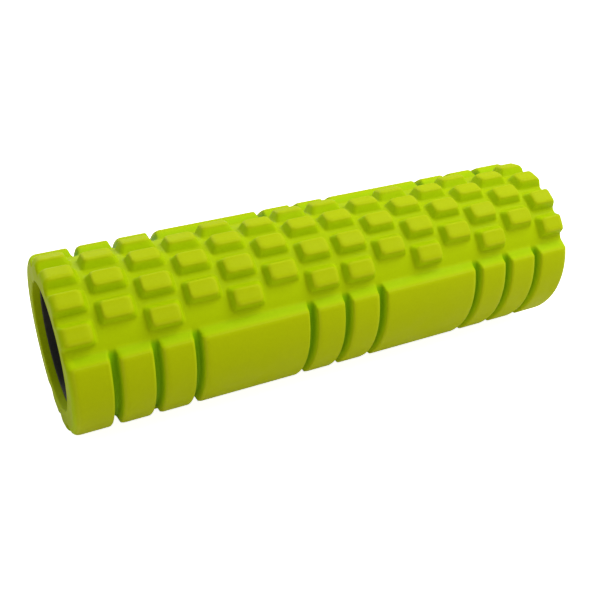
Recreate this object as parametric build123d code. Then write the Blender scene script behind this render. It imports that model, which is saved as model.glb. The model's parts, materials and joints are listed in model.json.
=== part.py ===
from build123d import *
import math
import os

# Foam massage roller lying on its side: a moulded foam sleeve bonded to a stiff core tube.
# Millimetres and degrees. The origin is the middle of the roller's axis, +X runs along the
# axis and +Z is up. Angles around the axis start at the top and grow towards -Y.

# Overall size
roller_length = 450.0
roller_diameter = 143.2

# Walls, from the outside in
foam_thickness = 20.3
bond_thickness = 0.3
tube_wall = 3.5

# Set back at each end
tube_recess = 6.0  # behind the foam's end face
bond_setback = 4.0  # behind the tube's end

# Relief moulded into the foam
relief_depth = 7.8
root_depth = 4.0  # how far a block runs into the base of the foam
nub_gap = 4.0  # groove floor between two nubs in line along the axis
row_gap = 5.0  # valley floor between two rows around the axis
rib_gap = 3.5  # groove floor between two ribs
nub_end_lean = 3.4  # along the axis, from the foot of an end flank to its top
nub_side_lean = 4.4  # around the axis, from the foot of a side flank to its top
rib_end_lean = 2.2
rib_side_lean = 8.2

# Rounded edges
end_round = 6.2
valley_end_round = 3.0
hole_round = 1.2
nub_round = 2.6
rib_round = 2.0
tube_round = 0.6

# Columns along the axis. Those at the ends have their own width; the rest share what is left
column_count = 14
nub_end_column = 28.2
rib_end_column = 34.2

# Fields of nubs: angle of the first edge, angle from row to row, rows in a full column
upper_field = (-20.0, 21.8, 4)
lower_field = (155.0, 25.0, 2)

# Bands: angles of the first and last edges
front_band = (67.2, 151.0)
rear_band = (205.0, 340.0)

# Columns that each block of a band spans, from end to end: 1 for a rib, 3 for a slab
band_blocks = (1, 1, 1, 3, 1, 1, 3, 1, 1, 1)

# Worked out from the sizes above
outer_radius = roller_diameter / 2
floor_radius = outer_radius - relief_depth
root_radius = floor_radius - root_depth
hole_radius = outer_radius - foam_thickness
tube_radius = hole_radius - bond_thickness
tube_bore_radius = tube_radius - tube_wall
tube_length = roller_length - 2 * tube_recess
bond_length = tube_length - 2 * bond_setback


def span(distance, radius):
    """Angle that a distance measured around the axis spans at a radius."""
    return math.degrees(distance / radius)


def around(radius, angle):
    """Point of a section across the axis, at an angle from the top."""
    turn = math.radians(angle)
    return (-radius * math.sin(turn), radius * math.cos(turn))


def corner(outline, point):
    """The outline's vertex nearest to a point."""
    return outline.vertices().sort_by_distance((*point, 0))[0]


def tube(length, outer, inner, outer_round, inner_round):
    """Plain tube centred on the origin, with the edges of its end faces rounded."""
    wall = Pos(0, (outer + inner) / 2) * Rectangle(length, outer - inner)
    wall = fillet(wall.vertices().group_by(Axis.Y)[-1], outer_round)
    wall = fillet(wall.vertices().group_by(Axis.Y)[0], inner_round)
    return revolve(Plane.XZ * wall, Axis.X)


def column_edges(end_column):
    """Where each column starts along the axis, and where the last one ends."""
    pitch = (roller_length - 2 * end_column) / (column_count - 2)
    inner = [end_column - roller_length / 2 + pitch * i for i in range(column_count - 1)]
    return [-roller_length / 2, *inner, roller_length / 2]


def side_outline(start, end, gap, lean, rounding):
    """Outline of a block between two column edges, in distance along the axis and radius."""
    left_gap, left_lean, left_round = gap / 2, lean, rounding
    right_gap, right_lean, right_round = gap / 2, lean, rounding
    if start == -roller_length / 2:
        left_gap, left_lean, left_round = 0, 0, end_round
    if end == roller_length / 2:
        right_gap, right_lean, right_round = 0, 0, end_round
    left = start + left_gap
    right = end - right_gap
    left_top = (left + left_lean, outer_radius)
    right_top = (right - right_lean, outer_radius)
    outline = Polygon(
        (left, root_radius),
        (right, root_radius),
        (right, floor_radius),
        right_top,
        left_top,
        (left, floor_radius),
        align=None,
    )
    outline = fillet(corner(outline, left_top), left_round)
    return fillet(corner(outline, right_top), right_round)


def nub_section(row_angle):
    """Section of a flat-topped nub that stands at the top of the roller."""
    half = row_angle / 2 - span(row_gap / 2, floor_radius)
    foot, floor = around(floor_radius, -half)
    shoulder, top = around(outer_radius, span(nub_side_lean, outer_radius) - half)
    outline = Polygon(
        (-foot, root_radius),
        (foot, root_radius),
        (foot, floor),
        (shoulder, top),
        (-shoulder, top),
        (-foot, floor),
        align=None,
    )
    return fillet(outline.vertices().group_by(Axis.Y)[-1], nub_round)


def band_section(first_edge, last_edge):
    """Section of a band that follows the roller's outer surface between two valleys."""
    start = first_edge + span(row_gap / 2, floor_radius)
    end = last_edge - span(row_gap / 2, floor_radius)
    middle = (start + end) / 2
    start_ridge = around(outer_radius, start + span(rib_side_lean, outer_radius))
    end_ridge = around(outer_radius, end - span(rib_side_lean, outer_radius))
    outline = make_face([
        Line(around(root_radius, start), around(floor_radius, start)),
        Line(around(floor_radius, start), start_ridge),
        ThreePointArc(start_ridge, around(outer_radius, middle), end_ridge),
        Line(end_ridge, around(floor_radius, end)),
        Line(around(floor_radius, end), around(root_radius, end)),
        ThreePointArc(around(root_radius, end), around(root_radius, middle), around(root_radius, start)),
    ])
    return fillet([corner(outline, start_ridge), corner(outline, end_ridge)], rib_round)


def block(side_view, section):
    """Solid that has both outlines: one turned round the axis, one drawn out along it."""
    ring = revolve(Plane.XZ * side_view, Axis.X)
    bar = extrude(Plane.YZ * section, roller_length, both=True)
    return ring & bar


def nub_field(first_edge, row_angle, rows):
    """Nubs of one field. Every other column has one nub fewer and is moved by half a row."""
    edges = column_edges(nub_end_column)
    section = nub_section(row_angle)
    nubs = []
    for column in range(column_count):
        shift = min(column, column_count - 1 - column) % 2
        outline = side_outline(edges[column], edges[column + 1], nub_gap, nub_end_lean, nub_round)
        nub = block(outline, section)
        for row in range(rows - shift):
            angle = first_edge + row_angle * (row + (1 + shift) / 2)
            nubs.append(Rot(angle, 0, 0) * nub)
    return nubs


def band(first_edge, last_edge):
    """Ribs and slabs of one band."""
    edges = column_edges(rib_end_column)
    section = band_section(first_edge, last_edge)
    blocks = []
    column = 0
    for columns in band_blocks:
        outline = side_outline(edges[column], edges[column + columns], rib_gap, rib_end_lean, rib_round)
        blocks.append(block(outline, section))
        column += columns
    return blocks


def foam_sleeve():
    """The moulded foam: a tube with two fields of nubs and two bands of ribs and slabs."""
    base = tube(roller_length, floor_radius, hole_radius, valley_end_round, hole_round)
    nubs = nub_field(*upper_field) + nub_field(*lower_field)
    ribs = band(*front_band) + band(*rear_band)
    return base.fuse(*nubs, *ribs)


def core_tube():
    """The stiff tube inside the foam, open from end to end."""
    return tube(tube_length, tube_radius, tube_bore_radius, tube_round, tube_round)


def bond_film():
    """The adhesive between the core tube and the foam."""
    wall = Pos(0, tube_radius + bond_thickness / 2) * Rectangle(bond_length, bond_thickness)
    return revolve(Plane.XZ * wall, Axis.X)


os.makedirs("parts", exist_ok=True)
export_step(foam_sleeve(), "parts/foam_sleeve.step")
export_step(core_tube(), "parts/core_tube.step")
export_step(bond_film(), "parts/bond_film.step")
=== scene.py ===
"""Foam massage roller lying on its side: its looks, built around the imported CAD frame.

Metres, in the CAD's own frame: the origin is the middle of the roller's axis, +X runs along
the axis and +Z is up. Angles around the axis start at the top and grow towards -Y.
"""

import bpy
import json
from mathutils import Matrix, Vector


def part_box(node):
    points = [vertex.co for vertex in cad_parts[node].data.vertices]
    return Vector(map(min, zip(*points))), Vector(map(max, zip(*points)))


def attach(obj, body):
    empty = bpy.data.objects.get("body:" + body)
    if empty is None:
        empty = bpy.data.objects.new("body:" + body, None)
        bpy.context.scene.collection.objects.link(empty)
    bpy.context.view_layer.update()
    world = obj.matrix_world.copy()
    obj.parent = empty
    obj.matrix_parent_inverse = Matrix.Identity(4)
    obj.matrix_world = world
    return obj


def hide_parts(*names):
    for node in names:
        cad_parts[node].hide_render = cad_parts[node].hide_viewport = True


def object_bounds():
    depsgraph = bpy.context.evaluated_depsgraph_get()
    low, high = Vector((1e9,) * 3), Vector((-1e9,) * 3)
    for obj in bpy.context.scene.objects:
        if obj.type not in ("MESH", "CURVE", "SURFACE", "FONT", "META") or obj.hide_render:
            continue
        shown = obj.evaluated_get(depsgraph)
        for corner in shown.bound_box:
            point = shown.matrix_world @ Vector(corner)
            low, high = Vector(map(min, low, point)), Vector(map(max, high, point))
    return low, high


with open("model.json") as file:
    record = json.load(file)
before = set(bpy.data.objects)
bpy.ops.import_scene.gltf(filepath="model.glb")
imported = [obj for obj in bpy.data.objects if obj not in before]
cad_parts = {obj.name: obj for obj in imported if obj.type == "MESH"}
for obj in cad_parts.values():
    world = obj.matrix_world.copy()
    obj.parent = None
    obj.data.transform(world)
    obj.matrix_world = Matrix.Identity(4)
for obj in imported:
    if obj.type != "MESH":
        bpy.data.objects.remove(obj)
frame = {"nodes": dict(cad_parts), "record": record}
cad_box = [list(corner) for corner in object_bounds()]

import json
import logging
import math
from dataclasses import dataclass
from enum import Enum

import bmesh
import bpy
import numpy as np
from mathutils import Matrix, Vector

log = logging.getLogger("roller")

MM = 0.001
SKIRT = 4 * MM  # how far outside its feet a block's rounded corners may reach
ZONE_BEFORE = 2 * MM  # fine steps along the axis start this far outside a foot
ZONE_BEHIND = 2.2 * MM  # and go on this far past the shoulder
ZONE_AROUND = 2.4 * MM  # the same for both, around the axis
BORE_RINGS = 24  # rings of the foam's bore, without those of its rounded rims
Colour = tuple[float, float, float]


# ---------------------------------------------------------------- relief of the foam


@dataclass(frozen=True)
class Flank:
    """Side of a block in the relief, from the floor beside it up to its top.

    Attributes:
        lean: Distance from the flank's foot to its shoulder, along the surface.
        foot_round: Radius of the hollow corner at the foot.
        top_round: Radius of the shoulder.
    """

    lean: float
    foot_round: float
    top_round: float

    def share(self, distance: np.ndarray, rise: float) -> np.ndarray:
        """How far up the flank each point is.

        Args:
            distance: Distances from the foot, positive towards the block.
            rise: Height of the block.

        Returns:
            Shares of the rise, from 0 on the floor to 1 on the top.
        """
        slope = math.atan2(rise, self.lean)
        foot = self.foot_round * math.tan(slope / 2)
        top = self.top_round * math.tan(slope / 2)
        hollow = np.clip(distance + foot, 0, self.foot_round)
        low = self.foot_round - np.sqrt(self.foot_round**2 - hollow**2)
        crest = np.clip(self.lean + top - distance, 0, self.top_round)
        high = rise - self.top_round + np.sqrt(self.top_round**2 - crest**2)
        height = distance * math.tan(slope)
        height = np.where(distance < foot * math.cos(slope), low, height)
        height = np.where(distance > self.lean - top * math.cos(slope), high, height)
        return height / rise


def soft_min(a: np.ndarray, b: np.ndarray, reach: float) -> np.ndarray:
    """Smaller of two distances, with the corner where they cross rounded.

    Args:
        a: First distances.
        b: Second distances.
        reach: Difference between the two at which the rounding starts.

    Returns:
        The blended distances.
    """
    overlap = np.clip(reach - np.abs(a - b), 0, None)
    return np.minimum(a, b) - overlap**2 / (4 * reach)


@dataclass(frozen=True)
class Block:
    """One raised block of the relief: a nub, a rib or a slab.

    Attributes:
        start: Foot of the block's left end along the axis, or None at the roller's own end.
        end: Foot of its right end, or None at the roller's own end.
        first: Angle of its first foot around the axis, in degrees.
        last: Angle of its last foot, in degrees.
        end_flank: Flank towards the grooves along the axis.
        side_flank: Flank towards the valleys around the axis.
        flatness: 1 for a flat top, 0 for one that follows the roller.
        corner: Reach of the rounding where two flanks meet.
    """

    start: float | None
    end: float | None
    first: float
    last: float
    end_flank: Flank
    side_flank: Flank
    flatness: float
    corner: float

    def shape(self, x: np.ndarray, turn: np.ndarray, outer: float, rise: float) -> np.ndarray:
        """Share of the block's height at each pair of stations.

        Args:
            x: Stations along the axis.
            turn: Angles from the block's middle, in degrees.
            outer: Radius of the block tops.
            rise: Height of the block.

        Returns:
            Shares from 0 on the floor to 1 on the top.
        """
        starts = x - self.start if self.start is not None else np.full_like(x, outer)
        ends = self.end - x if self.end is not None else np.full_like(x, outer)
        along = np.minimum(starts, ends)[:, None]
        across = (np.radians((self.last - self.first) / 2 - np.abs(turn)) * outer)[None, :]
        if self.corner > 0:
            scale = self.side_flank.lean / self.end_flank.lean
            return self.side_flank.share(soft_min(along * scale, across, self.corner), rise)
        return self.end_flank.share(along, rise) * self.side_flank.share(across, rise)

    def lift(
        self, x: np.ndarray, angle: np.ndarray, radius: np.ndarray, floor: float, outer: float
    ) -> None:
        """Raise the surface where this block stands.

        Args:
            x: Stations along the axis.
            angle: Stations around the axis, in degrees.
            radius: Surface radius at each pair of stations, changed in place.
            floor: Radius of the relief's floor.
            outer: Radius of the block tops.
        """
        half = (self.last - self.first) / 2
        turn = (angle - self.first - half + 180) % 360 - 180
        near = np.ones(len(x), bool)
        if self.start is not None:
            near &= x > self.start - SKIRT
        if self.end is not None:
            near &= x < self.end + SKIRT
        columns = np.flatnonzero(near)
        rows = np.flatnonzero(np.abs(turn) < half + math.degrees(SKIRT / floor))
        turn = turn[rows]
        shoulder = math.radians(half) - self.side_flank.lean / outer
        facet = math.cos(shoulder) / np.cos(np.radians(np.clip(turn, -half, half)))
        top = outer * (1 - self.flatness * (1 - facet)) if self.flatness else outer
        raised = floor + self.shape(x[columns], turn, outer, outer - floor) * (top - floor)
        patch = np.ix_(columns, rows)
        radius[patch] = np.maximum(radius[patch], raised)


@dataclass(frozen=True)
class Field:
    """Field of nubs between two bands.

    Attributes:
        first_edge: Angle of the middle of the valley before the first row.
        row_angle: Angle from row to row.
        rows: Nubs in a full column.
    """

    first_edge: float
    row_angle: float
    rows: int

    def centres(self, shift: int) -> list[float]:
        """Angles of the nubs' middles in a full column (shift 0) or a moved one (shift 1)."""
        count = self.rows - shift
        return [self.first_edge + self.row_angle * (row + (1 + shift) / 2) for row in range(count)]


def stations(
    marks: list[float], zones: list[tuple[float, float]], fine: float, coarse: float
) -> np.ndarray:
    """Stations that pass through every mark and lie closer together inside the zones.

    Args:
        marks: Places that get a station.
        zones: Start and end of each zone of fine steps.
        fine: Largest step inside a zone.
        coarse: Largest step outside every zone.

    Returns:
        The stations in rising order.
    """
    places = sorted(marks)
    made = [places[0]]
    for low, high in zip(places, places[1:]):
        if high - made[-1] < fine / 4:
            continue
        middle = (low + high) / 2
        step = fine if any(start <= middle <= end for start, end in zones) else coarse
        count = max(1, math.ceil((high - made[-1]) / step - 0.01))
        made += list(np.linspace(made[-1], high, count + 1)[1:])
    return np.array(made)


@dataclass
class FoamSleeve:
    """The moulded foam: a thick sleeve with fields of nubs and bands of ribs and slabs."""

    length: float
    outer: float
    hole: float
    relief: float = 7.8 * MM
    nub_gap: float = 4.0 * MM
    row_gap: float = 5.0 * MM
    rib_gap: float = 3.5 * MM
    nub_end: Flank = Flank(3.4 * MM, 2.4 * MM, 3.0 * MM)
    nub_side: Flank = Flank(4.4 * MM, 2.4 * MM, 3.0 * MM)
    rib_end: Flank = Flank(2.2 * MM, 2.2 * MM, 2.2 * MM)
    rib_side: Flank = Flank(8.2 * MM, 3.0 * MM, 1.6 * MM)
    nub_flatness: float = 0.75
    nub_corner: float = 4.8 * MM
    end_round: float = 6.2 * MM
    valley_end_round: float = 3.0 * MM
    hole_round: float = 1.2 * MM
    columns: int = 14
    nub_end_column: float = 28.2 * MM
    rib_end_column: float = 34.2 * MM
    fields: tuple[Field, Field] = (Field(-20.0, 21.8, 4), Field(155.0, 25.0, 2))
    bands: tuple[tuple[float, float], ...] = ((67.2, 151.0), (205.0, 340.0))
    band_blocks: tuple[int, ...] = (1, 1, 1, 3, 1, 1, 3, 1, 1, 1)
    fine: float = 0.75 * MM
    coarse: float = 2.6 * MM
    seam: float = -87.5

    @property
    def floor(self) -> float:
        """Radius of the relief's floor."""
        return self.outer - self.relief

    def edges(self, end_column: float) -> list[float]:
        """Where each column starts along the axis, and where the last one ends."""
        pitch = (self.length - 2 * end_column) / (self.columns - 2)
        inner = [end_column - self.length / 2 + pitch * i for i in range(self.columns - 1)]
        return [-self.length / 2, *inner, self.length / 2]

    def foot(self, edge: float, gap: float, side: int) -> float | None:
        """Foot of a block beside a column edge, or None at the roller's own end."""
        return None if abs(edge) > self.length / 2 - MM else edge + side * gap / 2

    def blocks(self) -> list[Block]:
        """Every nub, rib and slab."""
        found = []
        half_gap = math.degrees(self.row_gap / 2 / self.floor)
        edges = self.edges(self.nub_end_column)
        for area in self.fields:
            half = area.row_angle / 2 - half_gap
            for column in range(self.columns):
                start = self.foot(edges[column], self.nub_gap, 1)
                end = self.foot(edges[column + 1], self.nub_gap, -1)
                for centre in area.centres(min(column, self.columns - 1 - column) % 2):
                    sides = (centre - half, centre + half)
                    look = (self.nub_end, self.nub_side, self.nub_flatness, self.nub_corner)
                    found.append(Block(start, end, *sides, *look))
        edges = self.edges(self.rib_end_column)
        for first, last in self.bands:
            column = 0
            for wide in self.band_blocks:
                start = self.foot(edges[column], self.rib_gap, 1)
                end = self.foot(edges[column + wide], self.rib_gap, -1)
                sides = (first + half_gap, last - half_gap)
                found.append(Block(start, end, *sides, self.rib_end, self.rib_side, 0, 0))
                column += wide
        return found

    def lengthwise(self, blocks: list[Block]) -> np.ndarray:
        """Stations along the axis, on the part between the rounded ends."""
        reach = self.length / 2 - self.end_round - MM
        marks = [-reach, reach]
        zones = []
        for block in blocks:
            for foot, side in ((block.start, 1), (block.end, -1)):
                if foot is not None:
                    lean = block.end_flank.lean
                    marks += [foot, foot + side * lean]
                    ends = (foot - side * ZONE_BEFORE, foot + side * (lean + ZONE_BEHIND))
                    zones.append(sorted(ends))
        marks = {round(mark, 6) for mark in marks if abs(mark) <= reach}
        return stations(sorted(marks), zones, self.fine, self.coarse)

    def around(self, blocks: list[Block]) -> np.ndarray:
        """Stations around the axis, in degrees, from the seam once around to the seam."""
        degree = math.degrees(MM / self.outer)
        marks = {self.seam, self.seam + 360}
        zones = []
        for block in blocks:
            lean = math.degrees(block.side_flank.lean / self.outer)
            for foot, side in ((block.first, 1), (block.last, -1)):
                place = (foot - self.seam) % 360 + self.seam
                marks.update((round(place, 4), round(place + side * lean, 4)))
                margin = ZONE_AROUND / MM * degree
                zones.append(sorted((place - side * margin, place + side * (lean + margin))))
        return stations(sorted(marks), zones, self.fine / MM * degree, self.coarse / MM * degree)

    def end_cap(self, base: np.ndarray, side: int) -> tuple[list[np.ndarray], list[np.ndarray]]:
        """Rings over one end, from the outer surface round the rim to the bore.

        Args:
            base: Outer radius all around, just before the end.
            side: 1 for the right end, -1 for the left.

        Returns:
            Places along the axis and radii, one array per ring.
        """
        raised = (base - self.floor) / self.relief
        rounding = self.valley_end_round + (self.end_round - self.valley_end_round) * raised
        half = self.length / 2
        x, radius = [], []
        for turn in np.linspace(0, math.pi / 2, 9):
            x.append(side * (half - rounding + rounding * math.sin(turn)))
            radius.append(base - rounding + rounding * math.cos(turn))
        rim = self.hole + self.hole_round
        outside = base - rounding
        for share in np.linspace(0, 1, 7)[1:]:
            x.append(np.full_like(base, side * half))
            radius.append(outside + (rim - outside) * share)
        for turn in np.linspace(0, math.pi / 2, 5)[1:]:
            x.append(np.full_like(base, side * (half - self.hole_round * (1 - math.cos(turn)))))
            radius.append(np.full_like(base, rim - self.hole_round * math.sin(turn)))
        return x, radius

    def surface(self) -> tuple[np.ndarray, np.ndarray, np.ndarray, np.ndarray]:
        """Rings of the whole skin, in order around its lengthwise section.

        Returns:
            Places along the axis, radii, and pairs of height in the relief and depth in a groove
            between ribs, one row per ring, and the angles of the columns in degrees.
        """
        blocks = self.blocks()
        x = self.lengthwise(blocks)
        angle = self.around(blocks)
        radius = np.full((len(x), len(angle)), self.floor)
        for block in blocks:
            block.lift(x, angle, radius, self.floor, self.outer)
        right_x, right_radius = self.end_cap(radius[-1], 1)
        left_x, left_radius = self.end_cap(radius[0], -1)
        straight = self.length / 2 - self.hole_round
        bore = np.linspace(straight, -straight, BORE_RINGS + 2)[1:-1]
        places = [np.full(len(angle), place) for place in x] + right_x
        places += [np.full(len(angle), place) for place in bore] + left_x[::-1]
        inside = [np.full(len(angle), self.hole)] * len(bore)
        radii = np.array([*radius, *right_radius, *inside, *left_radius[::-1]])
        height = np.clip((radii - self.floor) / self.relief, 0, 1)
        # Depth in a groove between ribs, which the foam's finish uses to paint shade.
        groove_shade = self.in_band(angle)[None, :] * (1 - height)
        groove_shade[len(x) :] = 0
        return np.array(places), radii, np.stack([height, groove_shade], axis=-1), angle

    def in_band(self, angle: np.ndarray) -> np.ndarray:
        """Share of each angle that lies in a band, falling off over the band's side flanks."""
        share = np.zeros_like(angle)
        for first, last in self.bands:
            half = (last - first) / 2
            turn = np.abs((angle - first - half + 180) % 360 - 180)
            inside = self.rib_side.share(np.radians(half - turn) * self.outer, self.relief)
            share = np.maximum(share, inside)
        return share

    def build(self) -> bpy.types.Object:
        """Make the sleeve's mesh from one grid, wrapped along and around and closed on itself.

        Returns:
            The finished object, with its place in the relief kept in two attributes.
        """
        places, radii, marks, angle = self.surface()
        rings, count = places.shape[0], len(angle) - 1
        turn = np.radians(angle)
        points = np.stack([places, -radii * np.sin(turn), radii * np.cos(turn)], axis=-1)
        mesh = bmesh.new()
        bmesh.ops.create_grid(mesh, x_segments=count, y_segments=rings, size=1.0)
        # Height in the relief and depth in a rib groove, which the foam's finish turns into
        # painted light and shade.
        relief = mesh.verts.layers.float.new("relief")
        groove_shade = mesh.verts.layers.float.new("groove_shade")
        for vert in mesh.verts:
            column = round((vert.co.x + 1) / 2 * count) % count
            ring = round((vert.co.y + 1) / 2 * rings) % rings
            vert.co = points[ring, column]
            vert[relief], vert[groove_shade] = marks[ring, column]
        rim = [vert for vert in mesh.verts if vert.is_boundary]
        bmesh.ops.remove_doubles(mesh, verts=rim, dist=MM * 0.001)
        bmesh.ops.recalc_face_normals(mesh, faces=mesh.faces)
        return finished(mesh, "foam_sleeve_skin")


@dataclass
class CoreTube:
    """The stiff tube inside the foam, open from end to end."""

    length: float
    outer: float
    bore: float
    rim_round: float = 0.6 * MM
    sides: int = 192

    def build(self) -> bpy.types.Object:
        """Spin the wall's section once around the axis.

        Returns:
            The finished object.
        """
        mesh = bmesh.new()
        half = self.length / 2
        corners = [(-half, self.bore), (half, self.bore), (half, self.outer), (-half, self.outer)]
        ring = [mesh.verts.new((x, 0, z)) for x, z in corners]
        section = mesh.faces.new(ring)
        bmesh.ops.bevel(
            mesh,
            geom=list(section.verts),
            offset=self.rim_round,
            offset_type="OFFSET",
            segments=4,
            profile=0.5,
            affect="VERTICES",
            material=-1,
        )
        border = [edge for edge in mesh.edges if edge.is_boundary]
        bmesh.ops.delete(mesh, geom=list(mesh.faces), context="FACES_ONLY")
        bmesh.ops.spin(
            mesh,
            geom=border,
            cent=(0, 0, 0),
            axis=(1, 0, 0),
            angle=math.tau,
            steps=self.sides,
            use_merge=True,
        )
        bmesh.ops.remove_doubles(mesh, verts=mesh.verts, dist=MM * 0.01)
        bmesh.ops.recalc_face_normals(mesh, faces=mesh.faces)
        return finished(mesh, "core_tube_wall")


def finished(mesh: bmesh.types.BMesh, name: str) -> bpy.types.Object:
    """Turn a bmesh into a smooth-shaded object, linked into the scene.

    Args:
        mesh: The mesh, which is freed.
        name: Name of the piece.

    Returns:
        The new object.
    """
    data = bpy.data.meshes.new(name)
    mesh.to_mesh(data)
    mesh.free()
    data.shade_smooth()
    piece = bpy.data.objects.new(name, data)
    bpy.context.scene.collection.objects.link(piece)
    log.info("%s: %d faces", name, len(data.polygons))
    return piece


# ---------------------------------------------------------------- finishes


class NodeBoard:
    """A node tree with short ways to add and join nodes."""

    def __init__(self, tree: bpy.types.NodeTree) -> None:
        """Keep the tree.

        Args:
            tree: Tree of a material or of a node group.
        """
        self.tree = tree

    def add(self, kind: str, inputs: dict | None = None, **settings: object) -> bpy.types.Node:
        """Add a node.

        Args:
            kind: Type name of the node.
            inputs: Values or sockets for its inputs, by name or number.
            **settings: Other properties of the node.

        Returns:
            The node.
        """
        node = self.tree.nodes.new(kind)
        for name, value in settings.items():
            setattr(node, name, value)
        for name, value in (inputs or {}).items():
            if isinstance(value, bpy.types.NodeSocket):
                self.tree.links.new(value, node.inputs[name])
            else:
                node.inputs[name].default_value = value
        return node

    def maths(self, operation: str, a: object, b: object = 0.0) -> bpy.types.NodeSocket:
        """Result of a Math node on two values or sockets."""
        return self.add("ShaderNodeMath", {0: a, 1: b}, operation=operation).outputs[0]

    def remap(
        self, value: object, low: float, high: float, to_low: float, to_high: float
    ) -> bpy.types.NodeSocket:
        """Value carried smoothly from one range to another and held at its ends."""
        ends = {"From Min": low, "From Max": high, "To Min": to_low, "To Max": to_high}
        inputs = {"Value": value, **ends}
        node = self.add("ShaderNodeMapRange", inputs, interpolation_type="SMOOTHSTEP")
        return node.outputs["Result"]

    def bump(
        self, height: object, distance: float, strength: float, under: object = None
    ) -> bpy.types.NodeSocket:
        """Normal bent by a height, on top of another normal where one is given."""
        inputs = {"Strength": strength, "Distance": distance, "Height": height}
        if under is not None:
            inputs["Normal"] = under
        return self.add("ShaderNodeBump", inputs).outputs["Normal"]

    def blend(self, share: object, a: object, b: object) -> bpy.types.NodeSocket:
        """Colour mixed from two colours or sockets.

        Args:
            share: Share of the second colour.
            a: First colour.
            b: Second colour.

        Returns:
            The mixed colour.
        """
        node = self.add("ShaderNodeMix", data_type="RGBA")
        ends = {"Factor_Float": share, "A_Color": a, "B_Color": b}
        for socket in node.inputs:
            if socket.identifier in ends:
                value = ends[socket.identifier]
                if isinstance(value, bpy.types.NodeSocket):
                    self.tree.links.new(value, socket)
                else:
                    plain = socket.identifier == "Factor_Float"
                    socket.default_value = value if plain else (*value, 1.0)
        return next(socket for socket in node.outputs if socket.identifier == "Result_Color")


class Effect(Enum):
    """Effects that more than one finish uses, each a shader node group."""

    GRAIN = "Moulded grain"
    DRIFT = "Slow drift"


def make_group(
    effect: Effect, inputs: dict[str, float], outputs: list[str]
) -> tuple[NodeBoard, dict, bpy.types.Node]:
    """Start a shader node group with a Vector input and named number sockets.

    Args:
        effect: Which effect it is.
        inputs: Names and default values of its number inputs.
        outputs: Names of its outputs.

    Returns:
        The board to add nodes to, the input sockets by name, and the output node.
    """
    group = bpy.data.node_groups.new(effect.value, "ShaderNodeTree")
    group.interface.new_socket("Vector", in_out="INPUT", socket_type="NodeSocketVector")
    for name, value in inputs.items():
        socket = group.interface.new_socket(name, in_out="INPUT", socket_type="NodeSocketFloat")
        socket.default_value = value
    for name in outputs:
        group.interface.new_socket(name, in_out="OUTPUT", socket_type="NodeSocketFloat")
    board = NodeBoard(group)
    entry = board.add("NodeGroupInput")
    return board, {socket.name: socket for socket in entry.outputs}, board.add("NodeGroupOutput")


def make_effects() -> None:
    """Build the shared node groups once."""
    board, given, out = make_group(Effect.GRAIN, {"Scale": 1000.0}, ["Height", "Mottle"])
    cells = board.add(
        "ShaderNodeTexVoronoi",
        {"Vector": given["Vector"], "Scale": given["Scale"], "Smoothness": 0.6},
        feature="SMOOTH_F1",
    )
    coarse = board.maths("MULTIPLY", given["Scale"], 0.45)
    speckle = board.add(
        "ShaderNodeTexNoise",
        {"Vector": given["Vector"], "Scale": coarse, "Detail": 3.0, "Roughness": 0.6},
    )
    rounded = board.maths("SUBTRACT", 1.0, cells.outputs["Distance"])
    both = board.maths("ADD", board.maths("MULTIPLY", rounded, 0.6), speckle.outputs["Fac"])
    board.tree.links.new(both, out.inputs["Height"])
    board.tree.links.new(speckle.outputs["Fac"], out.inputs["Mottle"])

    board, given, out = make_group(Effect.DRIFT, {"Scale": 20.0}, ["Mask"])
    drift = board.add(
        "ShaderNodeTexNoise",
        {"Vector": given["Vector"], "Scale": given["Scale"], "Detail": 2.0, "Roughness": 0.5},
    )
    board.tree.links.new(board.remap(drift.outputs["Fac"], 0.3, 0.7, 0.0, 1.0), out.inputs["Mask"])


@dataclass(frozen=True)
class Finish:
    """What every finish of the roller has.

    Attributes:
        name: Name of the material.
        colour: Its main colour.
        roughness: Lowest and highest roughness over the surface.
        grain: Grains in a metre.
        grain_depth: Depth of the grain.
    """

    name: str
    colour: Colour
    roughness: tuple[float, float]
    grain: float
    grain_depth: float

    def start(self) -> tuple[NodeBoard, bpy.types.Node, bpy.types.NodeSocket]:
        """Start a material.

        Returns:
            Its board, its main shader and the coordinates its patterns use.
        """
        material = bpy.data.materials.new(self.name)
        material.use_nodes = True
        material.node_tree.nodes.clear()
        board = NodeBoard(material.node_tree)
        shader = board.add("ShaderNodeBsdfPrincipled")
        board.add("ShaderNodeOutputMaterial", {"Surface": shader.outputs["BSDF"]})
        return board, shader, board.add("ShaderNodeTexCoord").outputs["Object"]

    def effect(
        self, board: NodeBoard, kind: Effect, vector: bpy.types.NodeSocket, scale: float
    ) -> bpy.types.Node:
        """Place one of the shared effects in a material."""
        node = board.add("ShaderNodeGroup", node_tree=bpy.data.node_groups[kind.value])
        board.tree.links.new(vector, node.inputs["Vector"])
        node.inputs["Scale"].default_value = scale
        return node

    def set_roughness(
        self, board: NodeBoard, shader: bpy.types.Node, mask: bpy.types.NodeSocket
    ) -> None:
        """Let the roughness follow a mask, from its lowest value to its highest."""
        board.tree.links.new(board.remap(mask, 0, 1, *self.roughness), shader.inputs["Roughness"])


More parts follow.
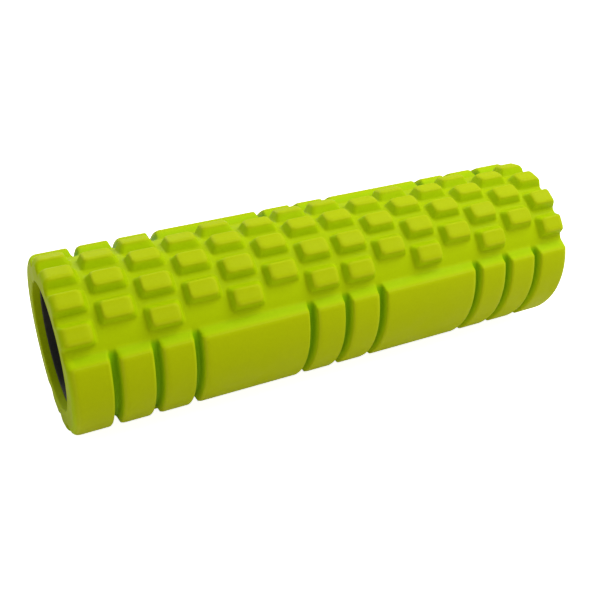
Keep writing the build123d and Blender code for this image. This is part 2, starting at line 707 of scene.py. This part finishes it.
@dataclass(frozen=True)
class FoamFinish(Finish):
    """Satin closed-cell foam: yellower tops in its own colour, valleys and flanks greener with
    painted bounce light, rib grooves darker with painted shade, and shoulders paler with a painted
    highlight.
    """

    # Painted light and shade: the valley and flank colours are painted bounce light, the groove
    # colour is painted shade and the shoulder colour is a painted highlight.
    valley_bounce: Colour = (0.352, 0.47, 0.0003)
    groove_shade: Colour = (0.15, 0.36, 0.0003)
    flank_bounce: Colour = (0.37, 0.53, 0.0003)
    shoulder_highlight: Colour = (0.50, 0.62, 0.03)
    wave_depth: float = 0.25 * MM
    # Strength of the painted highlight along the shoulders.
    highlight_strength: float = 0.12
    patchiness: float = 0.07
    shine: float = 0.06

    def build(self) -> bpy.types.Material:
        """Make the material."""
        board, shader, vector = self.start()
        grain = self.effect(board, Effect.GRAIN, vector, self.grain)
        patches = self.effect(board, Effect.DRIFT, vector, 38.0)
        relief = board.add("ShaderNodeAttribute", attribute_name="relief").outputs["Fac"]
        # Painted bounce light: the colour turns greener from the tops down into the valleys.
        colour = board.blend(board.remap(relief, 0.0, 0.9, 0.0, 1.0), self.valley_bounce, self.colour)
        # Painted bounce light on the flanks: brighter and greener between the foot and the
        # shoulder.
        leaving = board.remap(relief, 0.03, 0.35, 0.0, 0.85)
        arriving = board.remap(relief, 0.65, 0.95, 1.0, 0.0)
        colour = board.blend(board.maths("MULTIPLY", leaving, arriving), colour, self.flank_bounce)
        # Painted shade: darker green deep in the grooves between ribs.
        groove_shade = board.add("ShaderNodeAttribute", attribute_name="groove_shade").outputs["Fac"]
        colour = board.blend(board.remap(groove_shade, 0.2, 1.0, 0.0, 0.85), colour, self.groove_shade)
        # Painted highlight: a pale band along each shoulder, just below the top.
        rising = board.remap(relief, 0.80, 0.95, 0.0, 1.0)
        falling = board.remap(relief, 0.96, 0.995, 1.0, 0.0)
        shoulder_highlight = board.maths("MULTIPLY", board.maths("MULTIPLY", rising, falling), self.highlight_strength)
        colour = board.blend(shoulder_highlight, colour, self.shoulder_highlight)
        patch = board.maths("MULTIPLY", patches.outputs["Mask"], self.patchiness)
        colour = board.blend(patch, colour, self.valley_bounce)
        shade = board.remap(grain.outputs["Mottle"], 0.25, 0.75, 0.975, 1.02)
        scaled = {0: colour, "Scale": shade}
        tone = board.add("ShaderNodeVectorMath", scaled, operation="SCALE").outputs[0]
        board.tree.links.new(tone, shader.inputs["Base Color"])
        self.set_roughness(board, shader, patches.outputs["Mask"])
        waves = self.effect(board, Effect.DRIFT, vector, 55.0)
        wave = board.bump(waves.outputs["Mask"], self.wave_depth, 0.5)
        skin = board.bump(grain.outputs["Height"], self.grain_depth, 0.3, wave)
        board.tree.links.new(skin, shader.inputs["Normal"])
        shader.inputs["Specular IOR Level"].default_value = self.shine
        shader.inputs["Specular Tint"].default_value = (0.85, 0.9, 0.35, 1.0)
        return bpy.data.materials[self.name]


@dataclass(frozen=True)
class TubeFinish(Finish):
    """Extruded plastic with faint marks drawn along the tube."""

    mark: Colour = (0.005, 0.005, 0.0045)
    mark_depth: float = 0.05 * MM

    def build(self) -> bpy.types.Material:
        """Make the material."""
        board, shader, vector = self.start()
        grain = self.effect(board, Effect.GRAIN, vector, self.grain)
        stretch = {"Vector": vector, "Scale": (0.02, 1.0, 1.0)}
        drawn = board.add("ShaderNodeMapping", stretch).outputs["Vector"]
        marks = self.effect(board, Effect.DRIFT, drawn, 420.0)
        strength = board.maths("MULTIPLY", marks.outputs["Mask"], 0.6)
        colour = board.blend(strength, self.colour, self.mark)
        board.tree.links.new(colour, shader.inputs["Base Color"])
        self.set_roughness(board, shader, marks.outputs["Mask"])
        lines = board.bump(marks.outputs["Mask"], self.mark_depth, 0.5)
        skin = board.bump(grain.outputs["Height"], self.grain_depth, 0.5, lines)
        board.tree.links.new(skin, shader.inputs["Normal"])
        return bpy.data.materials[self.name]


@dataclass(frozen=True)
class GlueFinish(Finish):
    """Cured contact adhesive, brushed on unevenly."""

    thin: Colour = (0.40, 0.37, 0.24)

    def build(self) -> bpy.types.Material:
        """Make the material."""
        board, shader, vector = self.start()
        grain = self.effect(board, Effect.GRAIN, vector, self.grain)
        brushed = self.effect(board, Effect.DRIFT, vector, 90.0)
        colour = board.blend(brushed.outputs["Mask"], self.colour, self.thin)
        board.tree.links.new(colour, shader.inputs["Base Color"])
        self.set_roughness(board, shader, brushed.outputs["Mask"])
        skin = board.bump(grain.outputs["Height"], self.grain_depth, 0.5)
        board.tree.links.new(skin, shader.inputs["Normal"])
        return bpy.data.materials[self.name]


FOAM = FoamFinish("lime_foam", (0.368, 0.447, 0.0005), (0.5, 0.62), 1300.0, 0.05 * MM)
TUBE = TubeFinish("black_tube", (0.002, 0.002, 0.0017), (0.45, 0.6), 2600.0, 0.02 * MM)
GLUE = GlueFinish("cured_glue", (0.55, 0.50, 0.36), (0.45, 0.7), 900.0, 0.05 * MM)


# ---------------------------------------------------------------- studio


@dataclass(frozen=True)
class Softbox:
    """Square soft light that faces the roller."""

    name: str
    place: tuple[float, float, float]
    size: float
    power: float


@dataclass
class Studio:
    """Pale floor, soft light and the camera."""

    floor_height: float
    floor_size: float = 12.0
    floor_colour: Colour = (0.90, 0.82, 0.72)
    floor_glow: float = 0.9
    sky_light: float = 0.45
    sky_seen: float = 1.0
    softboxes: tuple[Softbox, ...] = (
        Softbox("key", (0.7, -0.4, 1.4), 1.3, 27.0),
        Softbox("rim", (-0.35, 1.3, 0.9), 1.0, 10.0),
    )
    azimuth: float = 26.49
    elevation: float = 29.33
    distance: float = 0.754
    target: tuple[float, float, float] = (-0.00965, 0.0, -0.0129)
    lens: float = 51.93

    def add_floor(self) -> None:
        """Lay the floor."""
        mesh = bmesh.new()
        bmesh.ops.create_grid(mesh, x_segments=4, y_segments=4, size=self.floor_size / 2)
        bmesh.ops.translate(mesh, verts=mesh.verts, vec=(0, 0, self.floor_height))
        data = bpy.data.meshes.new("studio_floor")
        mesh.to_mesh(data)
        mesh.free()
        floor = bpy.data.objects.new("studio_floor", data)
        bpy.context.scene.collection.objects.link(floor)
        material = bpy.data.materials.new("pale_floor")
        material.use_nodes = True
        shader = material.node_tree.nodes["Principled BSDF"]
        shader.inputs["Base Color"].default_value = (*self.floor_colour, 1.0)
        shader.inputs["Roughness"].default_value = 0.9
        shader.inputs["Specular IOR Level"].default_value = 0.1
        shader.inputs["Emission Color"].default_value = (1.0, 1.0, 1.0, 1.0)
        board = NodeBoard(material.node_tree)
        seen = board.add("ShaderNodeLightPath").outputs["Is Camera Ray"]
        glow = board.maths("MULTIPLY", seen, self.floor_glow)
        board.tree.links.new(glow, shader.inputs["Emission Strength"])
        data.materials.append(material)

    def add_softbox(self, box: Softbox) -> None:
        """Hang one softbox."""
        light = bpy.data.lights.new(box.name, "AREA")
        light.size = box.size
        light.energy = box.power
        lamp = bpy.data.objects.new(box.name, light)
        bpy.context.scene.collection.objects.link(lamp)
        lamp.location = box.place
        lamp.rotation_euler = (-Vector(box.place)).to_track_quat("-Z", "Y").to_euler()

    def add_light(self) -> None:
        """Light the scene from all around and with the softboxes."""
        scene = bpy.context.scene
        scene.world = bpy.data.worlds.new("studio")
        scene.world.use_nodes = True
        sky = scene.world.node_tree.nodes["Background"]
        sky.inputs["Color"].default_value = (1.0, 1.0, 1.0, 1.0)
        board = NodeBoard(scene.world.node_tree)
        seen = board.add("ShaderNodeLightPath").outputs["Is Camera Ray"]
        strength = board.remap(seen, 0, 1, self.sky_light, self.sky_seen)
        board.tree.links.new(strength, sky.inputs["Strength"])
        for box in self.softboxes:
            self.add_softbox(box)
        scene.view_settings.view_transform = "Standard"

    def add_camera(self) -> None:
        """Stand the camera in front of the roller and above it, turned towards its left end."""
        data = bpy.data.cameras.new("camera")
        data.lens = self.lens
        data.clip_start = 0.01
        camera = bpy.data.objects.new("camera", data)
        bpy.context.scene.collection.objects.link(camera)
        turn = Matrix.Rotation(math.radians(-self.azimuth), 4, "Z")
        tilt = Matrix.Rotation(math.radians(90 - self.elevation), 4, "X")
        step_back = Matrix.Translation((0, 0, self.distance))
        camera.matrix_world = Matrix.Translation(self.target) @ turn @ tilt @ step_back
        bpy.context.scene.camera = camera


@dataclass
class Roller:
    """The whole roller, sized from the CAD frame."""

    foam_box: tuple[Vector, Vector]
    tube_box: tuple[Vector, Vector]
    film_box: tuple[Vector, Vector]
    bore: float

    def build(self) -> None:
        """Build and dress every piece."""
        low, high = self.foam_box
        sleeve = FoamSleeve(high.x - low.x, (high.y - low.y) / 2, self.film_box[1].z).build()
        sleeve.data.materials.append(FOAM.build())
        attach(sleeve, "root")
        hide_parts("foam_sleeve")
        low, high = self.tube_box
        tube = CoreTube(high.x - low.x, high.z, self.bore).build()
        tube.data.materials.append(TUBE.build())
        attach(tube, "root")
        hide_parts("core_tube")
        film = frame["nodes"]["bond_film"]
        film.data.materials.clear()
        film.data.materials.append(GLUE.build())


def core_bore_radius() -> float:
    """Radius of the tube's bore, as the record's mount gives it."""
    mounts = {mount["name"]: mount for mount in frame["record"]["mounts"]}
    return mounts["core_bore"]["dims"]["r_mm"] * MM


def main() -> None:
    """Build the roller and its studio."""
    logging.basicConfig(level=logging.INFO, format="%(name)s: %(message)s")
    make_effects()
    Roller(
        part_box("foam_sleeve"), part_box("core_tube"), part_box("bond_film"), core_bore_radius()
    ).build()
    studio = Studio(floor_height=cad_box[0][2])
    studio.add_floor()
    studio.add_light()
    studio.add_camera()


if __name__ == "__main__":
    main()
